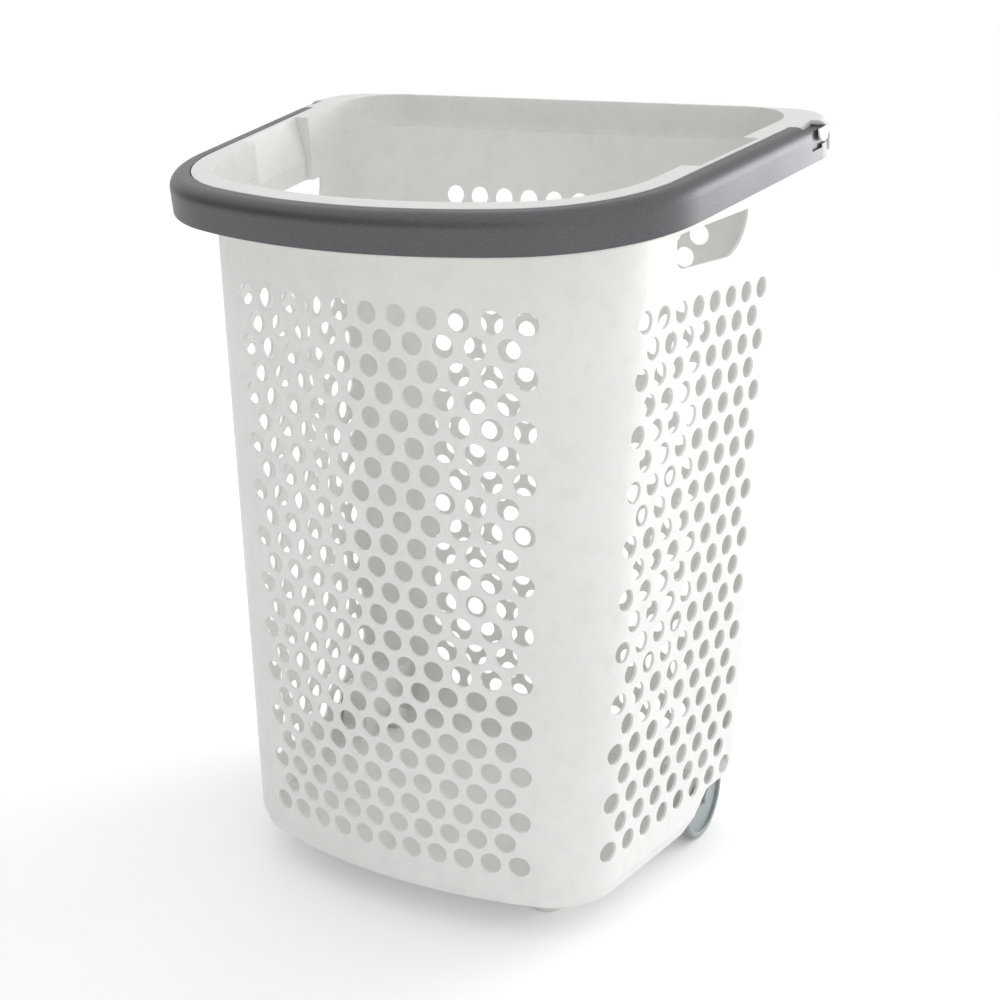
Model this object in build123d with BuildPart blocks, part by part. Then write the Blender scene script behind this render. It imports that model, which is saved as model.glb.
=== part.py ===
# Wheeled perforated laundry hamper: D-shaped tub, wrap-around pull handle, two rear wheels.
# Millimetres, +Z up.  Origin on the floor, on the plane of symmetry, under the middle of the tub.
# The bowed front faces -Y, the flat back and the wheels are on the +Y side.
import os
from math import cos, hypot, radians, sin, tan

from build123d import *

os.makedirs("parts", exist_ok=True)

# ---------------------------------------------------------------- driving sizes
base_z = 31.0            # underside of the tub above the floor
draft = 1.65             # every wall leans out by this much, degrees
wall = 2.6               # moulded wall
floor_t = 3.0            # tub floor

rim_z = 652.0            # top of the rim above the floor at y = 0
rim_tilt = 8.45          # the rim climbs towards the back, degrees

tub_front = 157.5        # front of the tub ahead of the origin, at the base
tub_back = 157.0         # flat back behind the origin, at the base
front_r = 460.0          # bow of the front
front_angle = 17.0       # half angle of the bow
corner_r = 68.0
side_angle = 83.3        # the sides spread towards the back
back_corner_r = 32.0

handle_front = 224.0     # outer front of the handle, measured in the rim plane
handle_h = 30.6          # height of the handle band
handle_w = 18.0          # width of the handle band seen from above
handle_skin = 3.2        # thickness of the band's outer skin
handle_round = 11.0      # rounding of the band's outer top edge
handle_r = 450.0         # bow of the handle's front
handle_angle = 18.0      # half angle of that bow
handle_corner_r = 142.0
handle_side_angle = 83.0
handle_back = 176.4      # flat back of the rim behind the origin, in the rim plane
handle_back_r = 48.4     # back corners of the rim
rim_gap = 1.0            # handle band to rim flange

pivot_v = 118.0          # handle pivot behind the origin, in the rim plane
pivot_drop = 14.0        # handle pivot below the rim plane
pivot_d = 12.0           # moulded pivot stub
arm_end = 15.0           # arm beyond the pivot
arm_round = 4.0          # lower corner of the arm end
arm_in_x = 249.0         # flat inner face of the arm end
arm_top = 4.5            # top of the arm end below the rim plane
ear_out = 1.6            # ears and back shell stand out from the handle by this much
ear_t = 1.8              # thickness of an ear
ear_r = 9.0              # rounded lobe of an ear
ear_sink = 2.2           # depth of the recess that an ear lies in
shell_t = 3.4            # shell round the back corners
shell_h = 26.0           # its height
shell_round = 9.0        # rounding of its outer top edge

hole_d = 18.4            # ventilation holes
front_rows = 23
front_cols = 11
front_pitch_high = 26.3
front_pitch_low = 24.2
front_row_pitch = 21.15
front_row_drop = 116.6    # top row below the rim's height
side_rows = 21
side_cols = 8
side_pitch_high = 27.2
side_pitch_low = 28.5
side_row_pitch = 22.7
side_row_drop = 121.5
back_rows = 25
back_cols = 10
back_pitch = 27.1
back_row_pitch = 21.15
back_row_drop = 69.0

wheel_r = 41.0
wheel_w = 20.0
wheel_y = 102.0
wheel_out_x = 190.0      # outer face of the wheel
axle_d = 8.0
run_fit = 0.08           # radial clearance of a running fit

foot_x = 114.0           # front feet
foot_y = -77.0
foot_d = 34.0

# ---------------------------------------------------------------- outlines
rim = Plane(
    origin=(0, 0, rim_z),
    x_dir=(1, 0, 0),
    z_dir=(0, -sin(radians(rim_tilt)), cos(radians(rim_tilt))),
)


def d_outline(size, grow=0.0):
    """Flat-backed D outline; size = (front radius, half angle, corner radius,
    side angle, front, back, back corner radius); grow offsets it outwards."""
    fr, ha, cr, sa, front, back, br = size
    fr, cr, br = fr + grow, cr + grow, br + grow
    front, back = front + grow, back + grow
    ha, sa = radians(ha), radians(sa)
    x0 = fr * sin(ha)
    y0 = -front + fr * (1 - cos(ha))
    cx, cy = x0 - cr * sin(ha), y0 + cr * cos(ha)
    am = (ha + sa) / 2
    xm, ym = cx + cr * sin(am), cy - cr * cos(am)
    x1, y1 = cx + cr * sin(sa), cy - cr * cos(sa)
    by = back - br
    bx = x1 + (-br + (by - y1) * cos(sa)) / sin(sa)
    x2, y2 = bx + br * sin(sa), by - br * cos(sa)
    ab = (sa + radians(180)) / 2
    x3, y3 = bx + br * sin(ab), by - br * cos(ab)
    ThreePointArc((-x0, y0), (0, -front), (x0, y0))
    ThreePointArc((x0, y0), (xm, ym), (x1, y1))
    Line((x1, y1), (x2, y2))
    ThreePointArc((x2, y2), (x3, y3), (bx, back))
    Line((bx, back), (-bx, back))
    ThreePointArc((-bx, back), (-x3, y3), (-x2, y2))
    Line((-x2, y2), (-x1, y1))
    ThreePointArc((-x1, y1), (-xm, ym), (-x0, y0))


def d_face(plane, size, grow=0.0):
    with BuildSketch(plane) as s:
        with BuildLine():
            d_outline(size, grow)
        make_face()
    return s.sketch


def handle_side_x(v):
    """Half width of the handle outline at v on its straight side."""
    a, b = radians(handle_angle), radians(handle_side_angle)
    x = handle_r * sin(a) + handle_corner_r * (sin(b) - sin(a))
    y = -handle_front + handle_r * (1 - cos(a)) + handle_corner_r * (cos(a) - cos(b))
    return x + (v - y) / tan(b)


base_size = (front_r, front_angle, corner_r, side_angle, tub_front, tub_back, back_corner_r)


def tub_grow(z):
    """How far the outline has grown at height z."""
    return (z - base_z) * tan(radians(draft))


handle_size = (handle_r, handle_angle, handle_corner_r, handle_side_angle,
               handle_front, handle_back, handle_back_r)
collar_low = (476.0, 17.0, 84.0, 83.3, 180.2, 172.7, 48.0)
collar_w = 34.5          # top of the collar inside the handle outline
collar_h = 30.0
collar_high = (handle_r - collar_w, handle_angle, handle_corner_r - collar_w,
               handle_side_angle, handle_front - collar_w, handle_back - 2.9, 48.0)

flange_edge = handle_w + rim_gap
arm_v = pivot_v + arm_end
cover_v = pivot_v + 11.5      # front edge of the rim cover over the arm end
shelf_v = pivot_v - 16.5      # front edge of the rim beside the arm end
plate_v = pivot_v - 19.2      # back end of the band's top plate
ledge_v = pivot_v - 24.0      # back end of the ledge under the band
shell_v = arm_v + 4.0         # outer corner shell starts behind the arm
ear_v = pivot_v + 5.0         # middle of the ears
turn_r = hypot(pivot_v - shelf_v, pivot_drop) + 0.6    # room for the rim as the handle turns
ear_turn_r = hypot(ear_r - 5.0, pivot_drop) + 1.0      # room for the ear in the turning arm
cheek_x = arm_in_x - 0.6
cheek_t = 3.4
cheek_h = 2 * pivot_drop

top_z = rim_z + 68.0     # above every part of the rim
foot_z = base_z + 13.0   # top of the bevel round the base
bevel = 19.1             # slope of that bevel, degrees


# ---------------------------------------------------------------- space inside the tub
slot_in_x = wheel_out_x - wheel_w - 2.0
slot_out_x = wheel_out_x + 1.6
slot_wall = 2.0          # outer wall of the housing
slot_top = 2 * wheel_r + 5.0
arch_low_y = wheel_y - 61.0
arch_knee_y = wheel_y - 27.0
arch_z = base_z + 33.0
arch_back_y = wheel_y + 6.0    # the cut climbs again behind the wheel
arch_back_z = arch_z + 24.0

shoulder_z = rim_z - 55.0                # underside of the widened side walls, at y = 0
shoulder_slope = 0.105
shoulder_knee_y = 66.0   # behind this it climbs faster
shoulder_end_y = 141.0
shoulder_climb = 0.195
widen_front = (198.0, -75.0)             # plan of the widened wall's outer face
widen_back = (236.6, shoulder_end_y)
widen_in_x = 184.0
widen_drop = 38.0        # top of the widening below the rim plane
grip_front_y = -38.0     # hand grip pocket, open up to the rim
grip_back_y = 58.0
grip_h = 32.0            # height of a hand grip's opening
rim_strip = 4.5          # width of the rim over a pocket


def arch_profile(grow=0.0):
    """Side view of the cut-away lower back corner, drawn as (y, z)."""
    with BuildSketch() as s:
        with BuildLine():
            Polyline(
                (arch_low_y - grow * 1.4, base_z - 20),
                (arch_low_y - grow * 1.4, base_z),
                (arch_knee_y - grow * 0.5, arch_z + grow),
                (arch_back_y - grow * 0.5, arch_z + grow),
                (arch_back_y + 22 - grow * 0.7, arch_back_z + grow),
                (tub_back + 40, arch_back_z + grow),
                (tub_back + 40, base_z - 20),
                close=True,
            )
        make_face()
        bends = [v for v in s.vertices() if base_z + 5 < v.Y and v.X < tub_back + 30]
        fillet(bends, 11)
    return s.sketch


def widen_x(y):
    """Outer face of the widened side wall."""
    (x0, y0), (x1, y1) = widen_front, widen_back
    return x0 + (y - y0) * (x1 - x0) / (y1 - y0)


def wedge_profile(side, grow=0.0):
    """Plan of the widened top of one side wall."""
    x0, y0 = widen_front
    x1, y1 = widen_back
    back = tub_back + 14
    with BuildSketch() as s:
        with BuildLine():
            Polyline(
                (side * (x1 - 31), back + grow),
                (side * widen_in_x, back + grow),
                (side * widen_in_x, y0),
                (side * (x0 + grow), y0),
                (side * (x1 + grow), y1),
            )
            ThreePointArc(
                (side * (x1 + grow), y1),
                (side * (x1 - 8 + grow), y1 + 20),
                (side * (x1 - 31), back + grow),
            )
        make_face()
    return s.sketch


with BuildPart() as cavity:
    with BuildSketch(Plane.XY.offset(foot_z)):
        add(d_face(Plane.XY, base_size, tub_grow(foot_z) - wall))
    extrude(amount=top_z - foot_z, taper=-draft)
    with BuildSketch(Plane.XY.offset(base_z + floor_t)):
        add(d_face(Plane.XY, base_size, tub_grow(foot_z) - wall - 3.5))
    extrude(amount=foot_z - base_z - floor_t, taper=-bevel)
    # the collar opens out above the level of the handle's lower edge
    with BuildSketch(rim.offset(-collar_h + 1)):
        Rectangle(900, 900)
    extrude(amount=200, mode=Mode.SUBTRACT)
    with BuildSketch(rim.offset(-collar_h)):
        add(d_face(Plane.XY, collar_low, -wall + 1.2))
    with BuildSketch(rim.offset(2)):
        add(d_face(Plane.XY, collar_high, -2.8))
    loft(ruled=True)
    # walls of the wheel housings stand inside the tub
    for side in (1, -1):
        x_in = side * (slot_in_x - wall)
        with BuildSketch(Plane.YZ.offset(x_in)):
            with Locations((wheel_y, 0)):
                Rectangle(2 * wheel_r + 8 + 2 * wall, 2 * (slot_top + wall))
        extrude(amount=side * (slot_out_x + slot_wall - slot_in_x + wall), mode=Mode.SUBTRACT)
        with BuildSketch(Plane.YZ.offset(x_in)):
            add(arch_profile(wall))
        extrude(amount=side * 80, mode=Mode.SUBTRACT)
        with BuildSketch(Plane.YZ.offset(side * (slot_in_x - 16))):
            with Locations((wheel_y, wheel_r)):
                Circle(11)
        extrude(amount=side * 20, mode=Mode.SUBTRACT)


def shoulder_at(y):
    low = shoulder_z + shoulder_slope * min(y, shoulder_knee_y)
    return low + shoulder_climb * max(0.0, y - shoulder_knee_y)


def below_shoulder(lift=0.0):
    """Side view of everything under the widened top, drawn as (y, z)."""
    with BuildSketch() as s:
        with BuildLine():
            Polyline(
                (-400, base_z - 50),
                (400, base_z - 50),
                (400, shoulder_at(shoulder_end_y) + lift + 30),
                (shoulder_end_y, shoulder_at(shoulder_end_y) + lift),
                (shoulder_knee_y, shoulder_at(shoulder_knee_y) + lift),
                (-400, shoulder_at(-400) + lift),
                close=True,
            )
        make_face()
    return s.sketch


def slab(front, back):
    """Plan of the whole hamper between two values of y."""
    with BuildSketch() as s:
        with Locations((0, (front + back) / 2)):
            Rectangle(900, back - front)
    return s.sketch


def widening(grow, lift, drop, front, back):
    """Widened top of both side walls, between the shoulder and the handle."""
    with BuildPart() as p:
        for side in (1, -1):
            with BuildSketch(Plane.XY.offset(base_z)):
                add(wedge_profile(side, grow))
            extrude(amount=top_z - base_z)
        with BuildSketch(rim.offset(-drop)):
            Rectangle(900, 900)
        extrude(amount=400, mode=Mode.SUBTRACT)
        with BuildSketch(Plane.YZ.offset(-400)):
            add(below_shoulder(lift))
        extrude(amount=800, mode=Mode.SUBTRACT)
        with BuildSketch():
            add(slab(front, back))
        extrude(amount=top_z + 100, mode=Mode.INTERSECT)
    return p.part


def bulge(skin_low, skin_high, low, high, spare):
    """Side walls pushed out over the hand grips, from the widening up to the rim."""
    ends = (grip_front_y - 35, grip_back_y + 30)
    with BuildPart() as p:
        for side in (1, -1):
            for w in (low, high):
                t = (w + widen_drop) / widen_drop
                skin = skin_low + (skin_high - skin_low) * t
                x = []
                for v in ends:
                    foot = widen_x(v * cos(radians(rim_tilt)) + widen_drop * sin(radians(rim_tilt)))
                    head = handle_side_x(v) - flange_edge / sin(radians(handle_side_angle)) - 0.4
                    x.append(foot + (head - foot) * t - skin)
                with BuildSketch(rim.offset(w)):
                    with BuildLine():
                        Polyline(
                            (side * widen_in_x, ends[0]),
                            (side * x[0], ends[0]),
                            (side * x[1], ends[1]),
                            (side * widen_in_x, ends[1]),
                            close=True,
                        )
                    make_face()
            loft(ruled=True)
        with BuildSketch():
            add(slab(grip_front_y - spare, grip_back_y + spare))
        extrude(amount=top_z + 100, mode=Mode.INTERSECT)
    return p.part


with BuildPart() as body:
    with BuildSketch(Plane.XY.offset(foot_z)):
        add(d_face(Plane.XY, base_size, tub_grow(foot_z)))
    extrude(amount=top_z - foot_z, taper=-draft)
    with BuildSketch(Plane.XY.offset(base_z)):
        add(d_face(Plane.XY, base_size, tub_grow(foot_z) - 4.5))
    extrude(amount=foot_z - base_z, taper=-bevel)

# the widened wall is a skirt, open below, except over the hand grips
with BuildPart() as skirt_void:
    add(widening(-wall, -1, widen_drop + wall, grip_back_y + wall, 400))
    add(body.part, mode=Mode.SUBTRACT)

with BuildPart() as pockets:
    add(widening(-wall, -1, widen_drop, grip_front_y, grip_back_y))
    add(bulge(wall, rim_strip - 0.4, -widen_drop, 2, 0))


# ---------------------------------------------------------------- handle pivots
side_view = Plane(origin=rim.origin, x_dir=rim.y_dir, z_dir=(1, 0, 0))


def rim_solid(grow, height, top_round):
    """The rim's whole outline as a solid under the rim plane, its top edge rounded."""
    with BuildPart() as p:
        with BuildSketch(rim.offset(-height)):
            add(d_face(Plane.XY, handle_size, grow))
        extrude(amount=height)
        top = p.faces().filter_by(lambda f: abs(f.normal_at().dot(rim.z_dir) - 1) < 1e-4)
        fillet(top.edges(), top_round)
    return p.part


with BuildPart() as ears:
    add(rim_solid(ear_out, 20, shell_round))
    with BuildSketch(rim.offset(-21)):
        add(d_face(Plane.XY, handle_size, ear_out - ear_t))
    extrude(amount=25, mode=Mode.SUBTRACT)
    with BuildSketch(side_view.offset(-400)):
        with Locations((ear_v, -6.5)):
            Circle(ear_r)
        with Locations((ear_v, -3)):
            Rectangle(2 * ear_r, 6.5)
        with Locations((ear_v + 10, -5)):
            Rectangle(20, 10)
    extrude(amount=800, mode=Mode.INTERSECT)

with BuildPart() as ear_recess:
    with BuildSketch(rim.offset(-handle_h - 1)):
        add(d_face(Plane.XY, handle_size, 5))
        add(d_face(Plane.XY, handle_size, -ear_sink), mode=Mode.SUBTRACT)
    extrude(amount=handle_h + 2)
    with BuildSketch(side_view.offset(-400)):
        with Locations((pivot_v, -pivot_drop)):
            Circle(ear_turn_r)
        with Locations((pivot_v + 10, -pivot_drop + 5)):
            Rectangle(20, 20)
        with Locations((pivot_v, -pivot_drop - 6.5 - 20)):
            Rectangle(80, 40, mode=Mode.SUBTRACT)
        with Locations((pivot_v + 3 + 20, -pivot_drop - 3.5 - 20)):
            Rectangle(40, 40, mode=Mode.SUBTRACT)
    extrude(amount=800, mode=Mode.INTERSECT)

with BuildPart() as shell:
    add(rim_solid(ear_out, shell_h, shell_round))
    with BuildSketch(rim.offset(-shell_h - 1)):
        add(d_face(Plane.XY, handle_size, ear_out - shell_t))
    extrude(amount=shell_h + 1 - shell_t, mode=Mode.SUBTRACT)
    # over the arm ends only the top of the shell reaches forward
    with BuildSketch(rim.offset(-shell_h - 2)):
        with Locations((0, shell_v - 300)):
            Rectangle(900, 600)
    extrude(amount=shell_h + 2 - shell_t, mode=Mode.SUBTRACT)
    with BuildSketch(rim.offset(-shell_t - 1)):
        with Locations((0, cover_v - 300)):
            Rectangle(900, 600)
    extrude(amount=shell_t + 2, mode=Mode.SUBTRACT)

# ---------------------------------------------------------------- tub
with BuildPart() as tub:
    add(body.part)
    add(widening(0, 0, widen_drop, -200, 400))
    with BuildSketch(rim.offset(-collar_h)):
        Rectangle(900, 900)
    extrude(amount=200, mode=Mode.SUBTRACT)
    # collar behind the handle
    with BuildSketch(rim.offset(-collar_h)):
        add(d_face(Plane.XY, collar_low, 1.5))
    with BuildSketch(rim):
        add(d_face(Plane.XY, collar_high))
    loft(ruled=True)
    # flat rim flange the handle closes against
    with BuildSketch(rim.offset(-3)):
        add(d_face(Plane.XY, handle_size, -flange_edge))
    extrude(amount=3)
    # ledge the handle rests over
    with BuildSketch(rim.offset(-handle_h - 3.4)):
        add(d_face(Plane.XY, handle_size, -7))
        with Locations((0, ledge_v + 200)):
            Rectangle(900, 400, mode=Mode.SUBTRACT)
    extrude(amount=3)
    add(bulge(0, 0, -widen_drop - 1, 0, wall))
    # rim beside the arm ends, and the cheeks that carry the handle pivots
    with BuildSketch(rim.offset(-3)):
        with Locations((0, (shelf_v + cover_v + 2) / 2)):
            Rectangle(2 * cheek_x, cover_v + 2 - shelf_v)
    extrude(amount=3)
    with BuildSketch(rim.offset(-cheek_h)):
        for side in (1, -1):
            with Locations((side * (cheek_x - cheek_t / 2), (shelf_v + shell_v + 6) / 2)):
                Rectangle(cheek_t, shell_v + 6 - shelf_v)
            with Locations((side * (cheek_x - 14), shell_v + 4.5)):
                Rectangle(26, 3)
    extrude(amount=cheek_h - 1)
    # shell round the back corners, and the ears that lap over the arm ends
    add(shell.part)
    add(ears.part)
    # feet under the front, level with the wheels
    with BuildSketch():
        with Locations((foot_x, foot_y), (-foot_x, foot_y)):
            Circle(foot_d / 2)
    extrude(amount=base_z + 1, taper=-2)
    # hollow
    add(cavity.part, mode=Mode.SUBTRACT)
    add(pockets.part, mode=Mode.SUBTRACT)
    add(skirt_void.part, mode=Mode.SUBTRACT)
    # wheel slots and the cut-away lower back corners
    for side in (1, -1):
        with BuildSketch(Plane.YZ.offset(side * slot_in_x)):
            with Locations((wheel_y, 0)):
                Rectangle(2 * wheel_r + 8, 2 * slot_top)
        extrude(amount=side * (slot_out_x - slot_in_x), mode=Mode.SUBTRACT)
        with BuildSketch(Plane.YZ.offset(side * slot_in_x)):
            add(arch_profile())
        extrude(amount=side * 90, mode=Mode.SUBTRACT)
        # axle seat
        with BuildSketch(Plane.YZ.offset(side * (slot_in_x - 14))):
            with Locations((wheel_y, wheel_r)):
                Circle(axle_d / 2)
        extrude(amount=side * 30, mode=Mode.SUBTRACT)
        # pivot bore
        o = rim.from_local_coords(Vector(side * (cheek_x - 20), pivot_v, -pivot_drop))
        with BuildSketch(Plane(origin=o, x_dir=(0, 1, 0), z_dir=(side, 0, 0))):
            Circle(pivot_d / 2 + run_fit)
        extrude(amount=22, mode=Mode.SUBTRACT)
        # hand grip
        with BuildSketch(Plane.YZ.offset(side * 170)):
            with BuildLine():
                Polyline(
                    (-40, shoulder_z - shoulder_slope * 40),
                    (-40, shoulder_z - grip_h),
                    (45, shoulder_z - grip_h),
                )
                ThreePointArc(
                    (45, shoulder_z - grip_h),
                    (66, shoulder_z - grip_h + 12),
                    (75, shoulder_z + shoulder_slope * 75),
                )
                Line(
                    (75, shoulder_z + shoulder_slope * 75),
                    (-40, shoulder_z - shoulder_slope * 40),
                )
            f = make_face()
            low_corner = f.vertices().sort_by(Axis.Y)[0:2].sort_by(Axis.X)[0]
            fillet(low_corner, 12)
        extrude(amount=side * 60, mode=Mode.SUBTRACT)
    # front holes: staggered rows that close up towards the base
    with BuildSketch(Plane.XZ.offset(260)):
        for row in range(front_rows):
            t = row / (front_rows - 1)
            pitch = front_pitch_high + (front_pitch_low - front_pitch_high) * t
            count = front_cols - row % 2
            for k in range(count):
                x = (k - (count - 1) / 2) * pitch
                with Locations((x, rim_z - front_row_drop - row * front_row_pitch)):
                    Circle(hole_d / 2)
    extrude(amount=-145, mode=Mode.SUBTRACT)
    # back holes
    with BuildSketch(Plane.XZ.offset(-tub_back - 30)):
        for row in range(back_rows):
            count = back_cols + row % 2
            for k in range(count):
                x = (k - (count - 1) / 2) * back_pitch
                with Locations((x, rim_z - back_row_drop - row * back_row_pitch)):
                    Circle(hole_d / 2)
    extrude(amount=50, mode=Mode.SUBTRACT)
    # side holes; beside the wheels they stop short of the housing
    for side in (1, -1):
        for beside_wheel in (True, False):
            with BuildSketch(Plane.YZ.offset(side * 260)):
                for row in range(side_rows):
                    t = row / (side_rows - 1)
                    pitch = side_pitch_high + (side_pitch_low - side_pitch_high) * t
                    z = rim_z - side_row_drop - row * side_row_pitch
                    count = side_cols - row % 2
                    for k in range(count):
                        y = 14.5 - 8 * t + (k - (count - 1) / 2) * pitch
                        if (y > 45 and z < slot_top + 20) == beside_wheel:
                            with Locations((y, z)):
                                Circle(hole_d / 2)
            depth = 260 - slot_out_x - slot_wall - 0.6 if beside_wheel else 96
            extrude(amount=-side * depth, mode=Mode.SUBTRACT)

tub.part.label = "tub"
export_step(tub.part, "parts/tub.step")

# ---------------------------------------------------------------- handle
with BuildPart() as band_void:
    with BuildSketch(rim.offset(-handle_h - 1)):
        add(d_face(Plane.XY, handle_size, -handle_skin))
    extrude(amount=handle_h + 1 - 3)
    void_top = band_void.faces().filter_by(lambda f: abs(f.normal_at().dot(rim.z_dir) - 1) < 1e-4)
    fillet(void_top.edges(), handle_round - handle_skin)
    with BuildSketch(rim.offset(-handle_h - 2)):
        with Locations((0, plate_v - 14 + 300)):
            Rectangle(900, 600)
    extrude(amount=handle_h + 10, mode=Mode.SUBTRACT)

with BuildPart() as handle:
    with BuildSketch(rim.offset(-handle_h)):
        add(d_face(Plane.XY, handle_size))
    extrude(amount=handle_h)
    top = handle.faces().filter_by(lambda f: abs(f.normal_at().dot(rim.z_dir) - 1) < 1e-4)
    fillet(top.edges(), handle_round)
    # open inside: only the band remains
    with BuildSketch(rim.offset(-handle_h - 1)):
        add(d_face(Plane.XY, handle_size, -handle_w))
    extrude(amount=handle_h + 2, mode=Mode.SUBTRACT)
    add(band_void.part, mode=Mode.SUBTRACT)
    # the arms stop just behind the pivots
    with BuildSketch(rim.offset(-handle_h - 2)):
        with Locations((0, arm_v + 300)):
            Rectangle(900, 600)
    extrude(amount=handle_h + 10, mode=Mode.SUBTRACT)
    # arm ends: flat inside, lowered under the rim cover
    with BuildSketch(rim.offset(-handle_h - 2)):
        with Locations((0, plate_v + 300)):
            Rectangle(2 * arm_in_x, 600)
    extrude(amount=handle_h + 10, mode=Mode.SUBTRACT)
    with BuildSketch(rim.offset(-arm_top)):
        with Locations((0, plate_v + 300)):
            Rectangle(900, 600)
    extrude(amount=20, mode=Mode.SUBTRACT)
    handle_bottom = -handle_h + 0.1
    heels = []
    for edge in handle.edges():
        spot = rim.to_local_coords(edge.center())
        if abs(spot.Y - arm_v) < 0.1 and spot.Z < handle_bottom:
            heels.append(edge)
    fillet(heels, arm_round)
    # room for the rim and its cheeks as the handle turns, and for the ears
    with BuildSketch(side_view.offset(-arm_in_x)):
        with Locations((pivot_v, -pivot_drop)):
            Circle(turn_r)
    extrude(amount=2 * arm_in_x, mode=Mode.SUBTRACT)
    add(ear_recess.part, mode=Mode.SUBTRACT)
    for side in (1, -1):
        o = rim.from_local_coords(Vector(side * (arm_in_x - 13), pivot_v, -pivot_drop))
        with BuildSketch(Plane(origin=o, x_dir=(0, 1, 0), z_dir=(side, 0, 0))):
            Circle(pivot_d / 2)
        extrude(amount=15)

handle.part.label = "handle"
export_step(handle.part, "parts/handle.step")

# ---------------------------------------------------------------- wheels
rim_band = 5.5
hub_r = 9.0
face_dip = 3.0


def wheel_profile():
    """Half section, x = radius, y = along the axle from the inner face."""
    r, w = wheel_r, wheel_w
    bore = axle_d / 2 + run_fit
    with BuildSketch() as s:
        with BuildLine():
            Polyline(
                (bore, 0),
                (hub_r, 0),
                (hub_r, face_dip),
                (r - rim_band, face_dip),
                (r - rim_band, 0.6),
                (r - rim_band + 0.6, 0),
                (r - 2, 0),
            )
            ThreePointArc((r - 2, 0), (r - 0.6, 0.6), (r, 2))
            Line((r, 2), (r, w - 2.5))
            ThreePointArc((r, w - 2.5), (r - 0.75, w - 0.75), (r - 2.5, w))
            Polyline(
                (r - 2.5, w),
                (r - rim_band + 0.6, w),
                (r - rim_band, w - 0.6),
                (r - rim_band, w - face_dip),
                (hub_r, w - face_dip),
                (hub_r, w - 0.8),
                (bore, w - 0.8),
                (bore, 0),
            )
        make_face()
    return s.sketch


def wheel_plane(side, x):
    """Axle line on one side: sketch x = up, normal = outboard."""
    return Plane(origin=(side * x, wheel_y, wheel_r), x_dir=(0, 0, 1), z_dir=(side, 0, 0))


with BuildPart() as wheel_right:
    start = wheel_plane(1, wheel_out_x - wheel_w)
    with BuildSketch(Plane(origin=start.origin, x_dir=(0, 0, 1), z_dir=(0, 1, 0))):
        add(wheel_profile())
    revolve(axis=Axis(start.origin, (1, 0, 0)))

wheel_right.part.label = "wheel_right"
export_step(wheel_right.part, "parts/wheel_right.step")

with BuildPart() as wheel_left:
    add(mirror(wheel_right.part, about=Plane.YZ))

wheel_left.part.label = "wheel_left"
export_step(wheel_left.part, "parts/wheel_left.step")

# ---------------------------------------------------------------- axle pins and caps
axle_in_x = slot_in_x - 13.5
axle_out_x = wheel_out_x + 1.2
cap_x = wheel_out_x - 0.4


def axle_pin(side):
    with BuildPart() as pin:
        with BuildSketch(wheel_plane(side, axle_in_x)):
            Circle(axle_d / 2)
        extrude(amount=axle_out_x - axle_in_x)
        chamfer(pin.edges().filter_by(GeomType.CIRCLE), 0.6)
        # collar that keeps the wheel off the housing wall
        with BuildSketch(wheel_plane(side, slot_in_x)):
            Circle(axle_d / 2 + 3)
        extrude(amount=1.6)
    return pin.part


def axle_cap(side):
    with BuildPart() as cap:
        with BuildSketch(wheel_plane(side, cap_x)):
            Circle(axle_d / 2 + 3.2)
        extrude(amount=3.0)
        outer = cap.faces().sort_by(Axis.X)[-1 if side > 0 else 0]
        fillet(outer.edges(), 1.4)
        with BuildSketch(wheel_plane(side, cap_x)):
            Circle(axle_d / 2)
        extrude(amount=axle_out_x - cap_x, mode=Mode.SUBTRACT)
    return cap.part


for side, name in ((1, "right"), (-1, "left")):
    pin = axle_pin(side)
    pin.label = "axle_" + name
    export_step(pin, "parts/axle_" + name + ".step")
    cap = axle_cap(side)
    cap.label = "axle_cap_" + name
    export_step(cap, "parts/axle_cap_" + name + ".step")
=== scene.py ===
# Looks for the wheeled laundry hamper: materials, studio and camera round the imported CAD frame.
# Metres, +Z up, in the frame's own axes: the bowed front faces -Y.
import math

import bpy
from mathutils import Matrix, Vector

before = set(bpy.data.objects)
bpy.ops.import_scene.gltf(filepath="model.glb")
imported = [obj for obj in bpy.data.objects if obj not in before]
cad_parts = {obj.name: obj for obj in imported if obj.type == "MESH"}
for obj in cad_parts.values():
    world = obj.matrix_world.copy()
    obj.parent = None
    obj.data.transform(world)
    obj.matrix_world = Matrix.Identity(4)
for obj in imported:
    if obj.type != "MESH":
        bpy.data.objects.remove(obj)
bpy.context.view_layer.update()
scene = bpy.context.scene

# ---------------------------------------------------------------- camera
# A view from the front right and a little above, as a catalogue picture is taken.
CAMERA_AT = Vector((0.688, -1.186, 0.773))
CAMERA_TO = Vector((0.004, 0.034, 0.353))
LENS = 57.5
SHIFT_Y = -0.0281

camera_data = bpy.data.cameras.new("camera")
camera_data.lens = LENS
camera_data.sensor_width = 36.0
camera_data.shift_y = SHIFT_Y
camera_data.dof.use_dof = False
camera = bpy.data.objects.new("camera", camera_data)
camera.location = CAMERA_AT
camera.rotation_mode = "QUATERNION"
camera.rotation_quaternion = (CAMERA_TO - CAMERA_AT).to_track_quat("-Z", "Y")
scene.collection.objects.link(camera)
scene.camera = camera


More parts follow.
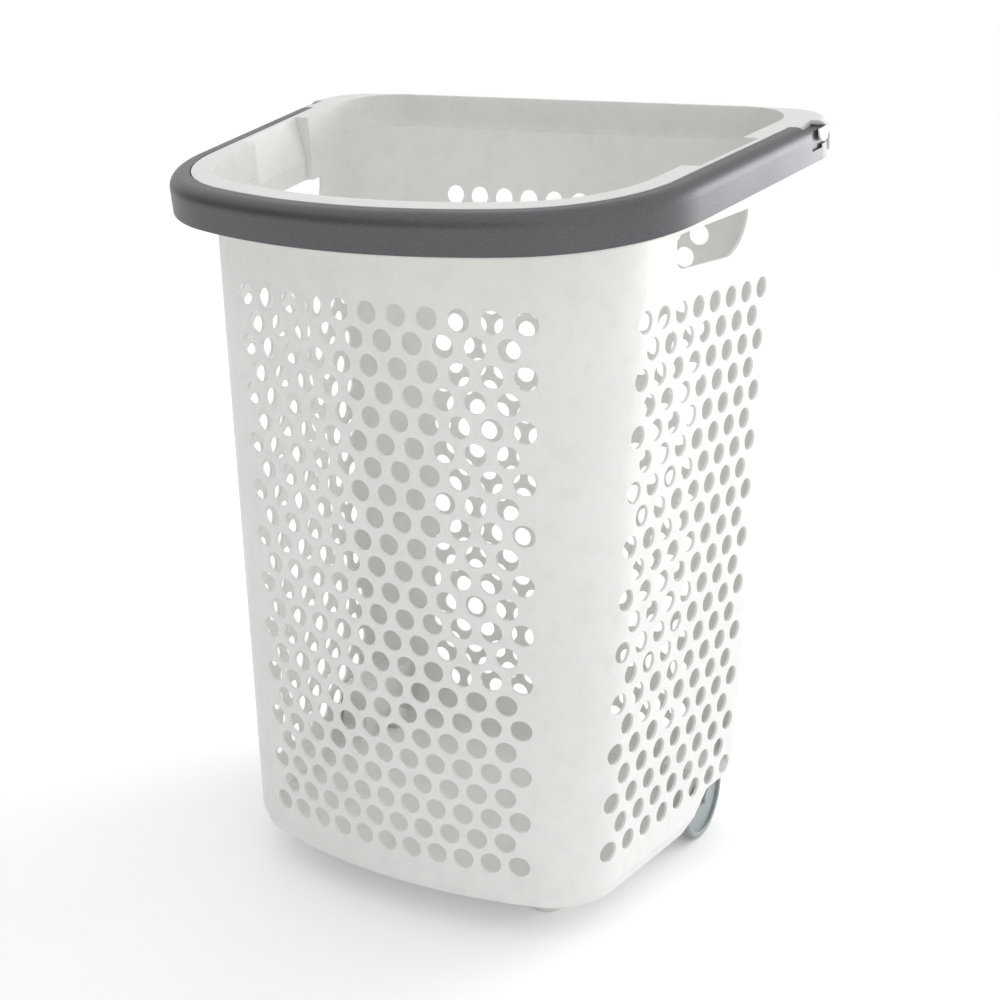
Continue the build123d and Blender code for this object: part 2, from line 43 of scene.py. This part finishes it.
# ---------------------------------------------------------------- node helpers
class Shader:
    """A small builder for node materials: every method adds one node and returns its output."""

    def __init__(self, name):
        self.material = bpy.data.materials.new(name)
        self.material.use_nodes = True
        self.tree = self.material.node_tree
        self.bsdf = self.tree.nodes["Principled BSDF"]
        self.place = self.node("ShaderNodeTexCoord").outputs["Object"]

    def node(self, kind, **settings):
        made = self.tree.nodes.new(kind)
        for key, value in settings.items():
            setattr(made, key, value)
        return made

    def link(self, source, target):
        self.tree.links.new(source, target)

    def noise(self, scale, detail=4.0, roughness=0.5, stretch=(1, 1, 1)):
        mapping = self.node("ShaderNodeMapping")
        mapping.inputs["Scale"].default_value = stretch
        self.link(self.place, mapping.inputs["Vector"])
        made = self.node("ShaderNodeTexNoise")
        made.inputs["Scale"].default_value = scale
        made.inputs["Detail"].default_value = detail
        made.inputs["Roughness"].default_value = roughness
        self.link(mapping.outputs["Vector"], made.inputs["Vector"])
        return made.outputs["Fac"]

    def ramp(self, factor, low, high, start=0.0, end=1.0):
        """Colours or greys between low and high as factor goes from start to end."""
        made = self.node("ShaderNodeValToRGB")
        made.color_ramp.elements[0].position = start
        made.color_ramp.elements[1].position = end
        made.color_ramp.elements[0].color = colour(low)
        made.color_ramp.elements[1].color = colour(high)
        self.link(factor, made.inputs["Fac"])
        return made.outputs["Color"]

    def mix(self, factor, first, second, blend_type="MIX"):
        made = self.node("ShaderNodeMix", data_type="RGBA", blend_type=blend_type)
        for socket, value in (("Factor", factor), ("A", first), ("B", second)):
            target = [s for s in made.inputs if s.name == socket and s.enabled][0]
            if hasattr(value, "links"):
                self.link(value, target)
            else:
                target.default_value = value if socket == "Factor" else colour(value)
        return [s for s in made.outputs if s.enabled][0]

    def bump(self, height, strength, distance, normal=None):
        made = self.node("ShaderNodeBump")
        made.inputs["Strength"].default_value = strength
        made.inputs["Distance"].default_value = distance
        self.link(height, made.inputs["Height"])
        if normal is not None:
            self.link(normal, made.inputs["Normal"])
        return made.outputs["Normal"]

    def soft_edges(self, radius):
        made = self.node("ShaderNodeBevel", samples=4)
        made.inputs["Radius"].default_value = radius
        return made.outputs["Normal"]

    def set(self, **values):
        """Constant values, straight on the shader's own sockets."""
        for key, value in values.items():
            socket = self.bsdf.inputs[key.replace("_", " ")]
            socket.default_value = colour(value) if "Color" in key else value


def colour(value):
    if isinstance(value, (int, float)):
        return (value, value, value, 1.0)
    return (*value, 1.0)


# ---------------------------------------------------------------- materials
def tub_plastic():
    """White, slightly milky moulded polypropylene, with faint flow marks down the walls."""
    s = Shader("tub_plastic")
    cloud = s.noise(6.0, 3.0)
    flow = s.noise(9.0, 5.0, 0.6, stretch=(1, 1, 0.12))
    scuff = s.noise(55.0, 6.0, 0.7)
    white = s.ramp(cloud, (0.745, 0.745, 0.727), (0.78, 0.78, 0.762), 0.3, 0.7)
    worn = s.ramp(scuff, 0.955, 1.0, 0.34, 0.52)
    s.link(s.mix(1.0, white, worn, "MULTIPLY"), s.bsdf.inputs["Base Color"])
    s.link(s.ramp(flow, 0.36, 0.46, 0.3, 0.7), s.bsdf.inputs["Roughness"])
    fine = s.bump(s.noise(1800.0, 2.0), 0.06, 0.0002, s.soft_edges(0.0009))
    waves = s.bump(s.noise(22.0, 2.0), 0.12, 0.0012, fine)
    s.link(waves, s.bsdf.inputs["Normal"])
    s.set(Specular_IOR_Level=0.35, Subsurface_Weight=0.3, Subsurface_Scale=0.004)
    s.bsdf.inputs["Subsurface Radius"].default_value = (1.0, 1.0, 0.95)
    return s.material


def handle_plastic():
    """Silver-grey plastic with a fine metallic fleck."""
    s = Shader("handle_plastic")
    fleck = s.noise(2600.0, 2.0, 0.6)
    cloud = s.noise(14.0, 4.0)
    grey = s.ramp(fleck, (0.072, 0.074, 0.079), (0.19, 0.193, 0.203), 0.32, 0.70)
    tone = s.ramp(cloud, 0.95, 1.0, 0.3, 0.7)
    s.link(s.mix(1.0, grey, tone, "MULTIPLY"), s.bsdf.inputs["Base Color"])
    s.link(s.ramp(cloud, 0.40, 0.47, 0.3, 0.7), s.bsdf.inputs["Roughness"])
    fine = s.bump(s.noise(1100.0, 3.0), 0.10, 0.0002, s.soft_edges(0.0006))
    s.link(fine, s.bsdf.inputs["Normal"])
    s.set(Metallic=0.92, Specular_IOR_Level=0.5)
    return s.material


def wheel_plastic(name="wheel_plastic"):
    """Grey moulded plastic, with patches of road dust."""
    s = Shader(name)
    cloud = s.noise(30.0, 5.0, 0.6)
    dust = s.noise(140.0, 6.0, 0.7)
    grey = s.ramp(cloud, (0.25, 0.285, 0.29), (0.31, 0.345, 0.35), 0.3, 0.7)
    dusty = s.mix(s.ramp(dust, 0.0, 0.35, 0.5, 0.75), grey, (0.42, 0.43, 0.42))
    s.link(dusty, s.bsdf.inputs["Base Color"])
    s.link(s.ramp(cloud, 0.38, 0.55, 0.3, 0.7), s.bsdf.inputs["Roughness"])
    fine = s.bump(s.noise(1200.0, 3.0), 0.15, 0.0002, s.soft_edges(0.0006))
    s.link(fine, s.bsdf.inputs["Normal"])
    s.set(Specular_IOR_Level=0.45)
    return s.material


def axle_steel():
    """Drawn steel pin with fine marks round it."""
    s = Shader("axle_steel")
    rings = s.noise(400.0, 4.0, 0.6, stretch=(8, 1, 1))
    s.link(s.ramp(rings, 0.50, 0.62), s.bsdf.inputs["Base Color"])
    s.link(s.ramp(rings, 0.25, 0.4), s.bsdf.inputs["Roughness"])
    s.link(s.bump(rings, 0.1, 0.0001), s.bsdf.inputs["Normal"])
    s.set(Metallic=1.0)
    return s.material


def finish_node(name, material):
    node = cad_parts[name]
    node.data.materials.clear()
    node.data.materials.append(material)


finish_node("tub", tub_plastic())
finish_node("handle", handle_plastic())
WHEEL = wheel_plastic()
STEEL = axle_steel()
CAP = wheel_plastic("cap_plastic")
for side in ("right", "left"):
    finish_node("wheel_" + side, WHEEL)
    finish_node("axle_" + side, STEEL)
    finish_node("axle_cap_" + side, CAP)


# ---------------------------------------------------------------- studio
def floor(half=40.0):
    """A plain pale floor, wide enough to reach the horizon."""
    mesh = bpy.data.meshes.new("floor")
    corners = [(-half, -half, 0), (half, -half, 0), (half, half, 0), (-half, half, 0)]
    mesh.from_pydata(corners, [], [(0, 1, 2, 3)])
    obj = bpy.data.objects.new("floor", mesh)
    s = Shader("floor")
    s.link(s.ramp(s.noise(3.0), 0.93, 0.95), s.bsdf.inputs["Base Color"])
    s.set(Roughness=0.95, Specular_IOR_Level=0.05)
    # a light table's glow, so that the floor stays white up to the contact shadow
    s.set(Emission_Color=1.0, Emission_Strength=0.11)
    mesh.materials.append(s.material)
    scene.collection.objects.link(obj)


def area_light(name, at, aim, size, power, tint=(1, 1, 1)):
    data = bpy.data.lights.new(name, "AREA")
    data.shape = "RECTANGLE"
    data.size, data.size_y = size
    data.energy = power
    data.color = tint
    light = bpy.data.objects.new(name, data)
    light.location = at
    direction = Vector(aim) - Vector(at)
    light.rotation_mode = "QUATERNION"
    light.rotation_quaternion = direction.to_track_quat("-Z", "Y")
    scene.collection.objects.link(light)


def sky(bright, dim, towards):
    """A white room, bright towards one side and dimmer on the other.

    The two limits are cosines of the angle from the bright side.
    """
    dim_end, bright_end = -0.95, -0.1
    world = bpy.data.worlds.new("studio")
    world.use_nodes = True
    tree = world.node_tree
    background = tree.nodes["Background"]
    place = tree.nodes.new("ShaderNodeTexCoord")
    dot = tree.nodes.new("ShaderNodeVectorMath")
    dot.operation = "DOT_PRODUCT"
    dot.inputs[1].default_value = Vector(towards).normalized()
    tree.links.new(place.outputs["Generated"], dot.inputs[0])
    grade = tree.nodes.new("ShaderNodeMapRange")
    grade.interpolation_type = "SMOOTHSTEP"
    grade.inputs["From Min"].default_value = dim_end
    grade.inputs["From Max"].default_value = bright_end
    grade.inputs["To Min"].default_value = dim
    grade.inputs["To Max"].default_value = bright
    tree.links.new(dot.outputs["Value"], grade.inputs["Value"])
    tree.links.new(grade.outputs["Result"], background.inputs["Strength"])
    background.inputs["Color"].default_value = (1, 1, 1, 1)
    scene.world = world


floor()
# the room is bright behind and to the right, so the front and the handle's bow stay darker
sky(1.02, 0.20, (0.60, 0.62, 0.30))
area_light("back_window", (1.5, 2.5, 0.9), (0.2, 0, 0.5), (1.6, 1.4), 44)
scene.view_settings.view_transform = "Standard"
